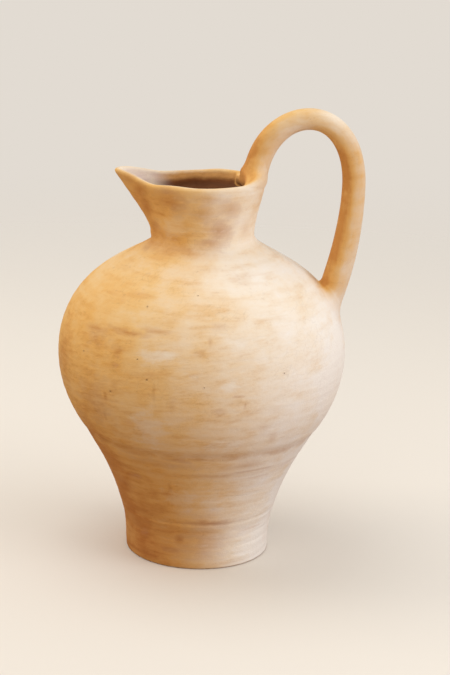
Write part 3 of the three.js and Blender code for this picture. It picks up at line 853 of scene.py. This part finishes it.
class Tree:
    """Adds nodes to a material or world and returns their sockets."""

    def __init__(self, holder):
        holder.use_nodes = True
        self.tree = holder.node_tree
        self.tree.nodes.clear()

    def node(self, kind, values=(), **settings):
        made = self.tree.nodes.new("ShaderNode" + kind)
        for key, value in settings.items():
            setattr(made, key, value)
        for key, value in dict(values).items():
            if isinstance(value, bpy.types.NodeSocket):
                self.tree.links.new(value, made.inputs[key])
            else:
                made.inputs[key].default_value = value
        return made

    def math(self, operation, a, b=0, c=0):
        return self.node("Math", {0: a, 1: b, 2: c}, operation=operation).outputs[0]

    plus = partialmethod(math, "ADD")
    minus = partialmethod(math, "SUBTRACT")
    times = partialmethod(math, "MULTIPLY")
    most = partialmethod(math, "MAXIMUM")

    def scaled(self, value, by, base):
        """value times by, added to base."""
        return self.math("MULTIPLY_ADD", value, by, base)

    def vector(self, operation, a, b=(0, 0, 0)):
        made = self.node("VectorMath", {0: a, 1: b}, operation=operation)
        return made.outputs["Value" if operation == "LENGTH" else "Vector"]

    def attribute(self, name, kind="Fac"):
        return self.node("Attribute", attribute_name=name).outputs[kind]

    def ramp(self, value, low, high, to_low=0, to_high=1):
        return self.node("MapRange", {
            "Value": value, "From Min": low, "From Max": high,
            "To Min": to_low, "To Max": to_high}, interpolation_type="SMOOTHSTEP").outputs[0]

    def band(self, value, middle, width):
        """1 at a value, falling to 0 at a width to either side."""
        return self.ramp(self.math("ABSOLUTE", self.minus(value, middle)), width, 0)

    def noise(self, vector, size, detail, rough, stretch=(1, 1, 1), shift=(0, 0, 0)):
        """Noise from 0 to 1 with features of about size mm, stretched by axis."""
        scale = tuple(1 / (MM * size * k) for k in stretch)
        moved = self.vector("ADD", self.vector("MULTIPLY", vector, scale), shift)
        return self.node("TexNoise", {
            "Vector": moved, "Scale": 1, "Detail": detail, "Roughness": rough}).outputs["Fac"]

    def mix(self, share, a, b, blend="MIX"):
        return self.node("Mix", {
            "Factor": share, 6: a, 7: b}, data_type="RGBA", blend_type=blend).outputs[2]

    def stain(self, share, colour, by):
        """A colour darkened by another, as a thin wash over it does."""
        return self.mix(share, colour, by, "MULTIPLY")

    def spots(self, vector, places, wobble, soft):
        """The strongest of some uneven ovals of middle, radii and strength."""
        total = 0
        for middle, radii, strength in places:
            away = self.vector("SUBTRACT", vector, tuple(v * MM for v in middle))
            away = self.vector("DIVIDE", away, tuple(v * MM for v in radii))
            far = self.plus(self.vector("LENGTH", away), wobble)
            total = self.most(total, self.times(self.ramp(far, 1, 1 - soft), strength))
        return total

    def choose(self, share, first, second):
        """The first shader where share is 0, the second where 1."""
        return self.node("MixShader", {0: share, 1: first.outputs[0], 2: second.outputs[0]})

    def colours(self, value, stops):
        """A colour ramp from stops of place and colour."""
        made = self.node("ValToRGB", {0: value})
        ramp = made.color_ramp
        ramp.elements[0].position, ramp.elements[0].color = stops[0]
        ramp.elements[1].position, ramp.elements[1].color = stops[-1]
        for place, colour in stops[1:-1]:
            ramp.elements.new(place).color = colour
        return made.outputs[0]

    def crackle(self, vector, size, wobble):
        """Thin lines of a crackled skin with plates of about size mm."""
        scaled = self.vector("MULTIPLY", vector, (1 / (MM * size),) * 3)
        moved = self.vector("ADD", scaled, self.times(wobble, 1.6))
        edge = self.node(
            "TexVoronoi", {"Vector": moved, "Scale": 1},
            feature="DISTANCE_TO_EDGE").outputs["Distance"]
        return self.ramp(edge, 0.045, 0)


# Slip and wash, from the bare white slip to the deepest ochre
SLIP = (
    (0, srgb(239, 232, 224)), (0.22, srgb(236, 221, 201)), (0.42, srgb(232, 205, 168)),
    (0.62, srgb(232, 193, 134)), (0.82, srgb(231, 180, 104)), (1, srgb(212, 150, 78)),
)
STAIN = srgb(190, 136, 92)
UMBER = srgb(128, 82, 50)
CHALK = srgb(240, 224, 202)
MAUVE = srgb(186, 148, 128)
LILAC = srgb(220, 198, 190)
GOLD_IN = srgb(226, 172, 104)
# Brown and dark inside the mouth: the clay's own colour and partly painted shade below the lip
BROWN_AND_SHADE_IN = srgb(140, 86, 44)
DARK_AND_SHADE_IN = srgb(108, 66, 36)
DUSK_IN = srgb(158, 108, 72)
DEEP_IN = srgb(190, 144, 100)
RAW = srgb(206, 168, 126)
RAW_DARK = srgb(186, 146, 104)

# Brown stains and pale patches on the outside, the pale patches partly painted highlights:
# degrees from the front towards the handle, height, half width and half height in mm, and strength
STAINS = (
    # The smear on the left of the belly, and the marks about it
    (-47, 194, 24, 4.2, 0.46), (-32, 197, 26, 3.4, 0.6), (-18, 200.5, 18, 3, 0.4),
    (-47, 187, 20, 11, 0.42), (-34, 184, 9, 9, 0.48),
    # The rest of the belly
    (-39, 147, 4.5, 8, 0.65), (-41, 130, 3.2, 15, 0.42), (-34, 158, 7, 6, 0.25),
    (4, 196, 3.4, 8, 0.5), (1, 188, 10, 5, 0.3), (8, 206, 12, 4, 0.22),
    (15, 156.5, 7, 1.5, 0.5), (18, 150, 1.8, 6, 0.45), (-17, 158, 2.2, 10, 0.35),
    (-10, 149, 5, 9, 0.22), (8, 143, 7, 6, 0.3), (-60, 120, 12, 14, 0.36),
    (-66, 158, 6, 8, 0.3), (33, 118, 6, 9, 0.28), (27, 129, 8, 7, 0.2),
    (-46, 142, 26, 28, 0.42), (-72, 158, 30, 28, 0.42),
    # The ledge and the lower wall
    (-10, 100, 17, 5, 0.5), (-30, 101, 20, 4, 0.34), (-42, 83, 23, 2.6, 0.42),
    (30, 87.5, 30, 1.7, 0.42), (36, 80, 24, 1.5, 0.26), (-16, 72, 3, 15, 0.34),
    (-52, 64, 14, 9, 0.3), (-20, 94, 44, 6, 0.3), (26, 94, 20, 6, 0.34),
    # The foot
    (5, 41, 10, 5.5, 0.6), (17, 40, 17, 2.6, 0.4), (-12, 25, 6.5, 7, 0.6),
    (-22, 15, 16, 4.5, 0.42), (-50, 30, 14, 7, 0.3), (-38, 44, 22, 3.5, 0.34),
    (-45, 8, 16, 4, 0.34), (48, 30, 20, 1.6, 0.3), (30, 4, 26, 1.8, 0.24),
    (6, 26, 30, 26, 0.38), (10, 40, 30, 5, 0.6),
    # The neck
    (16, 264, 17, 15, 0.66), (7, 253.5, 17, 7, 0.6), (27, 280, 14, 12, 0.5),
    (-2, 276, 13, 12, 0.42), (2, 288, 18, 6, 0.3), (52, 262, 10, 10, 0.22),
    (-60, 254, 16, 10, 0.5),
    # The back
    (-100, 150, 22, 26, 0.25), (120, 130, 24, 20, 0.25), (160, 185, 30, 3, 0.4),
    (-150, 92, 28, 3, 0.4), (150, 60, 20, 9, 0.35),
)
PALES_AND_HIGHLIGHTS = (
    (-16, 184, 15, 6, 0.5), (-22, 129, 18, 20, 0.36), (12, 164, 9, 4.5, 0.45),
    (-2, 172, 9, 4, 0.3), (-33, 264, 17, 13, 0.24), (38, 15, 26, 12, 0.3),
    (10, 62, 12, 12, 0.25), (-12, 62, 18, 12, 0.32), (56, 198, 16, 14, 0.35),
    (10, 116, 20, 8, 0.3), (70, 132, 28, 30, 0.55), (178, 120, 30, 26, 0.3),
    (-130, 200, 26, 14, 0.35),
)
# Dark wash down the fold of the spout, partly painted shade in the fold: middle, radii and
# strength
FOLD_STAINS_AND_SHADE = (
    ((-48, -14, 289), (11, 15, 12), 0.62), ((-45, -14, 273), (9, 15, 17), 0.8),
    ((-42, -14, 256), (11, 18, 16), 0.85), ((-56, -10, 297), (14, 14, 8), 0.4),
    ((-26, -34, 284), (20, 20, 14), 0.6), ((-22, -32, 254), (24, 24, 7), 0.4),
)
# Small pits: degrees from the front, height and radius
PITS = (
    (-20, 166.2, 1.1), (-24.5, 180, 0.8), (-36, 152, 1.2), (-26, 215, 0.9),
    (2, 163.5, 0.7), (34, 170.5, 0.8), (12, 100.6, 0.8), (-52, 176, 0.9), (-2, 224, 0.7),
)


def on_wall(marks):
    """Middle, radii and strength of marks on the outside of the wall."""
    placed = []
    for azimuth, height, wide, tall, strength in marks:
        turn, radius = math.radians(azimuth), float(outer_radius(height))
        middle = (radius * math.sin(turn), -radius * math.cos(turn), height)
        placed.append((middle, (wide, wide, tall), strength))
    return placed


# Clay: one procedural material over the whole jug
def clay_patterns(t):
    """What the clay is mixed from: places on the jug, and noises."""
    p = SimpleNamespace()
    texture = t.node("TexCoord")
    p.at = texture.outputs["Object"]
    sides = t.node("SeparateXYZ", {0: p.at}).outputs
    p.x, p.z = sides[0], sides[2]
    p.facing = t.node("SeparateXYZ", {0: texture.outputs["Normal"]}).outputs[0]
    p.depth = t.attribute("inner_depth")
    p.thrown = t.attribute("thrown")
    p.held = t.minus(1, p.thrown)

    slanted = t.node(
        "VectorRotate", {"Vector": p.at, "Angle": math.radians(9)},
        rotation_type="Y_AXIS").outputs[0]
    p.cloud = t.noise(p.at, 50, 3, 0.55, shift=(7, 3, 1))
    p.mottle = t.noise(slanted, 13, 5, 0.58, stretch=(2, 2, 1), shift=(1, 6, 2))
    p.daub = t.noise(slanted, 6, 4, 0.62, stretch=(1.5, 1.5, 1), shift=(4, 4, 9))
    p.flake = t.noise(slanted, 1.3, 3, 0.6, stretch=(2.4, 2.4, 1), shift=(6, 1, 3))
    p.grain = t.noise(p.at, 0.9, 3, 0.7)
    p.speck = t.noise(p.at, 2.6, 2, 0.5, shift=(8, 8, 8))

    # Rings on the thrown wall, brush strokes on the belly, marks along the handle
    belly = t.times(t.ramp(p.z, 0.1, 0.125), t.ramp(p.z, 0.212, 0.19))
    ringed = t.times(p.thrown, t.minus(1, t.times(belly, 0.7)))
    ring = t.noise(p.at, 4.8, 4, 0.6, stretch=(10, 10, 1), shift=(2, 9, 4))
    stroke = t.noise(slanted, 2.4, 4, 0.62, stretch=(5, 5, 1), shift=(9, 2, 5))
    pull = t.noise(t.attribute("pulled", "Vector"), 4, 4, 0.6, stretch=(3.5, 1, 1),
                   shift=(3, 3, 3))
    p.rings = t.times(t.minus(ring, 0.5), ringed)
    p.strokes = t.times(t.minus(stroke, 0.5), belly)
    p.pulls = t.times(t.minus(pull, 0.5), p.held)
    return p


def wash_with_painted_light(t, p):
    """How much ochre the slip holds, from 0 for white slip to 1, with painted light in it: more on
    the side turned from the window lamp and low down as painted shade, less on the side facing it
    and round the shoulder as painted highlight.
    """
    # Ochre by facing: a wash thicker on the spout side, and partly painted shade on the side
    # turned from the window lamp
    wash = t.ramp(p.facing, -0.9, 0.9, 0.79, 0.03)
    # More ochre low down, most on the side turned from the window lamp: painted shade
    low = t.times(t.ramp(p.z, 0.145, 0.075, 0, 0.17), t.ramp(p.facing, 0.9, 0.2, 0.3, 1))
    high = t.times(t.ramp(p.z, 0.19, 0.25, 0, 0.12), t.ramp(p.facing, 0.1, 0.6))
    crest = t.ramp(p.z, 0.315, 0.348, 0, -0.2)
    collar = t.ramp(p.z, 0.247, 0.256, 0, 0.06)
    for part in (low, high, crest, collar):
        wash = t.plus(wash, part)
    middle = t.times(t.ramp(p.z, 0.09, 0.12), t.ramp(p.z, 0.21, 0.18))
    middle = t.times(middle, t.band(p.facing, 0.22, 0.62))
    # Paler on the side facing the window lamp and round the upward shoulder: painted highlight
    lit_side_highlight = t.times(t.ramp(p.facing, 0.72, 0.92), t.ramp(p.z, 0.18, 0.15))
    shoulder = t.band(p.z, 0.232, 0.014)
    for part, share in (
        (middle, 0.08), (lit_side_highlight, -0.18), (shoulder, -0.07), (p.held, 0.19),
        (p.rings, 0.28), (p.strokes, 0.14), (p.pulls, 0.36),
    ):
        wash = t.scaled(part, share, wash)
    for noise, share in ((p.cloud, 0.5), (p.mottle, 0.48), (p.daub, 0.17)):
        wash = t.plus(wash, t.scaled(noise, share, -share / 2))
    return wash


def clay_stains(t, p, wobble):
    """Brown in the stains, under the neck and the ledge, and in a turned line. The brown in the
    spout's fold is partly painted shade, and so is the brown in the crease under the neck, darker
    on the side turned from the window lamp.
    """
    # Stains, and down the spout's fold partly painted shade
    stain = t.most(
        t.spots(p.at, on_wall(STAINS), wobble, 1), t.spots(p.at, FOLD_STAINS_AND_SHADE, wobble, 1))
    uneven_height = t.plus(p.z, t.scaled(p.mottle, 0.006, -0.003))
    # Under the neck: partly painted shade in the crease where the neck meets the shoulder, darker
    # on the side turned from the window lamp
    collar = t.times(t.band(p.z, 0.2485, 0.008), t.ramp(p.facing, 0.35, -0.15, 0, 0.45))
    ledge = t.times(
        t.band(uneven_height, 0.1036, 0.0046), t.ramp(p.mottle, 0.38, 0.62, 0.06, 0.34))
    line = t.times(
        t.band(uneven_height, 0.0842, 0.003), t.ramp(p.mottle, 0.6, 0.4, 0, 0.22))
    for groove in (collar, ledge, line):
        stain = t.most(stain, t.times(groove, p.thrown))
    return t.times(stain, t.ramp(t.plus(p.daub, p.strokes), 0.25, 0.7, 0.45, 1))


def fine_marks(t, p, colour):
    """Dry brush, flecks, crackle and freckles, fewer on the side of the handle."""
    clean = t.ramp(p.facing, 0.1, 0.8, 1, 0.35)
    brush = t.plus(t.scaled(p.rings, 1.2, p.mottle), p.strokes)
    colour = t.stain(t.times(t.ramp(brush, 0.46, 0.9, 0, 0.2), clean), colour, STAIN)
    fleck = t.times(t.ramp(p.flake, 0.56, 0.7), t.ramp(p.mottle, 0.46, 0.66, 0.04, 0.16))
    colour = t.stain(t.times(fleck, clean), colour, UMBER)
    crack = t.times(t.crackle(p.at, 7.5, p.daub), t.ramp(p.cloud, 0.5, 0.62, 0, 0.1))
    colour = t.mix(crack, colour, UMBER)
    freckle = t.times(t.ramp(p.speck, 0.68, 0.76), t.ramp(p.mottle, 0.45, 0.65, 0, 0.14))
    return t.mix(freckle, colour, STAIN)


def inside_colour(t, p, depth):
    """Golden under the lip, dark brown below it, and pale lilac within the spout; the dark brown,
    and the dark lower in the spout, are partly the clay's own colour and partly painted shade
    inside the mouth.
    """
    inside = t.mix(t.ramp(depth, 0.005, 0.01), GOLD_IN, BROWN_AND_SHADE_IN)
    inside = t.mix(t.ramp(depth, 0.008, 0.013), inside, DARK_AND_SHADE_IN)
    inside = t.mix(t.ramp(depth, 0.011, 0.021), inside, DUSK_IN)
    inside = t.stain(t.ramp(p.daub, 0.4, 0.7, 0, 0.3), inside, MAUVE)
    spout = t.mix(t.ramp(p.mottle, 0.35, 0.65), LILAC, CHALK)
    spout = t.mix(t.ramp(depth, 0.016, 0.028), spout, DARK_AND_SHADE_IN)
    inside = t.mix(t.ramp(p.x, -0.024, -0.044), inside, spout)
    return t.mix(t.ramp(depth, 0.055, 0.085), inside, DEEP_IN)


def clay_relief(t, p, pit):
    """Height of the finest relief, in metres."""
    relief = t.times(p.grain, 0.0001)
    for part, height in (
        (p.speck, 0.00012), (p.daub, 0.0004), (p.rings, 0.00045), (p.strokes, 0.0003),
        (p.pulls, 0.0004), (pit, -0.001),
    ):
        relief = t.scaled(part, height, relief)
    return relief


def clay_material():
    material = bpy.data.materials.new("fired_clay_body")
    t = Tree(material)
    p = clay_patterns(t)
    wobble = t.scaled(p.rings, 0.8, t.scaled(t.plus(p.daub, p.mottle), 1.7, -1.7))
    # Pale patches of slip, partly painted highlights
    pale = t.spots(p.at, on_wall(PALES_AND_HIGHLIGHTS), wobble, 0.8)
    pit = t.spots(p.at, on_wall((a, h, r, r, 1) for a, h, r in PITS), 0, 0.7)

    colour = t.colours(t.scaled(pale, -0.24, wash_with_painted_light(t, p)), SLIP)
    colour = t.mix(t.times(pale, 0.4), colour, CHALK)
    colour = t.stain(clay_stains(t, p, wobble), colour, STAIN)

    # The handle is darker below its top
    handle_darkening = t.times(p.held, t.ramp(p.z, 0.345, 0.325, 0, 0.17))
    colour = t.stain(handle_darkening, colour, STAIN)
    colour = fine_marks(t, p, colour)
    colour = t.mix(t.times(pit, 0.4), colour, UMBER)

    # The inside, with painted shade below the lip, painted shade low on the wall, and the bare
    # clay of the underside
    depth = t.plus(p.depth, t.scaled(p.mottle, 0.006, -0.003))
    colour = t.mix(t.ramp(depth, 0.0005, 0.0045), colour, inside_colour(t, p, depth))
    # Painted shade, darker towards the floor and on the side turned from the window lamp
    low_shade = t.times(t.ramp(p.z, 0.12, 0.01, 0, 0.48), t.ramp(p.facing, 0.8, -0.6))
    colour = t.stain(low_shade, colour, STAIN)
    raw = t.mix(t.ramp(p.mottle, 0.35, 0.7), RAW, RAW_DARK)
    colour = t.mix(t.ramp(p.z, 0.0012, 0.0003), colour, raw)

    bumped = t.node("Bump", {
        "Height": clay_relief(t, p, pit), "Distance": 1, "Strength": 0.8})
    shader = t.node("BsdfPrincipled", {
        "Base Color": colour, "Roughness": t.ramp(p.mottle, 0.3, 0.7, 0.74, 0.9),
        "Normal": bumped.outputs[0], "Specular IOR Level": 0.28})
    t.node("OutputMaterial", {"Surface": shader.outputs[0]})
    return material


CLAY = clay_material()
for piece in (foot, lower, belly, neck, handle, lower_web, upper_web):
    piece.data.materials.append(CLAY)


# Floor and background
PALE = srgb(226, 219, 210)
FLOOR_SEEN, FLOOR_LIGHT = srgb(232, 226, 218), srgb(132, 95, 68)
ROOM_LIGHT, ROOM_STRENGTH = (1, 0.962, 0.91, 1), 0.76
FLOOR_RADIUS, FLOOR_SIDES = 6, 96
FADE_FROM, FADE_TO = 0.35, 1.7


def seen_rays(t):
    """1 for rays that show the stage to the eye, 0 for those that light the jug."""
    path = t.node("LightPath")
    seen = t.most(path.outputs["Is Camera Ray"], path.outputs["Is Glossy Ray"])
    return t.most(seen, path.outputs["Is Transmission Ray"])


def floor_material():
    """A pale floor that fades into the background away from the jug."""
    material = bpy.data.materials.new("pale_floor")
    t = Tree(material)
    seen = seen_rays(t)
    at = t.node("TexCoord").outputs["Object"]
    shader = t.node("BsdfPrincipled", {
        "Base Color": t.mix(seen, FLOOR_LIGHT, FLOOR_SEEN), "Roughness": 0.9,
        "Specular IOR Level": 0.1})
    far = t.times(seen, t.ramp(t.vector("LENGTH", at), FADE_FROM, FADE_TO))
    mixed = t.choose(far, shader, t.node("BsdfTransparent"))
    t.node("OutputMaterial", {"Surface": mixed.outputs[0]})
    return material


def make_floor():
    turns = [2 * math.pi * k / FLOOR_SIDES for k in range(FLOOR_SIDES)]
    points = [(FLOOR_RADIUS * math.cos(a), FLOOR_RADIUS * math.sin(a), 0) for a in turns]
    mesh = bpy.data.meshes.new("studio_floor")
    mesh.from_pydata(points, [], [tuple(range(FLOOR_SIDES))])
    mesh.materials.append(floor_material())
    add_object("studio_floor", mesh)


def make_world():
    """Even light from all round, and a pale background for the eye."""
    world = bpy.data.worlds.new("studio")
    t = Tree(world)
    light = t.node("Background", {"Color": ROOM_LIGHT, "Strength": ROOM_STRENGTH})
    pale = t.node("Background", {"Color": PALE, "Strength": 1})
    t.node("OutputWorld", {"Surface": t.choose(seen_rays(t), light, pale).outputs[0]})
    bpy.context.scene.world = world


def lamp(name, at, aim, size, watts, colour):
    light = bpy.data.lights.new(name, "AREA")
    light.shape = "RECTANGLE"
    light.size, light.size_y = size
    light.energy = watts
    light.color = colour
    made = add_object(name, light)
    made.location = at
    made.rotation_euler = (Vector(aim) - Vector(at)).to_track_quat("-Z", "Y").to_euler()


def make_camera():
    """A camera placed and tilted as the photograph's was."""
    lens = bpy.data.cameras.new("photo_camera")
    lens.sensor_fit = "VERTICAL"
    lens.sensor_height = 36
    lens.lens = 100
    camera = add_object("photo_camera", lens)
    pitch, roll = math.radians(90 - 15.597), math.radians(1.7246)
    camera.matrix_world = (
        Matrix.Translation((0.01776, -1.40051, 0.56183))
        @ Matrix.Rotation(pitch, 4, "X") @ Matrix.Rotation(roll, 4, "Z"))
    bpy.context.scene.camera = camera


make_floor()
make_world()
lamp("window", (1.5, -0.62, 0.5), (0, 0, 0.14), (1.1, 1.1), 13.2, (0.955, 0.98, 1))
lamp("top", (-0.5, 0.15, 1.6), (0, 0, 0.2), (1.2, 1.2), 5.9, (1, 1, 1))
lamp("left", (-1.42, 0.2, 1.32), (0, 0, 0.19), (1, 1), 5.15, (1, 0.88, 0.68))
lamp("front", (-0.5, -1.9, 0.35), (0, 0, 0.1), (1.2, 0.7), 4.9, (1, 0.91, 0.78))
make_camera()
bpy.context.scene.view_settings.view_transform = "Standard"
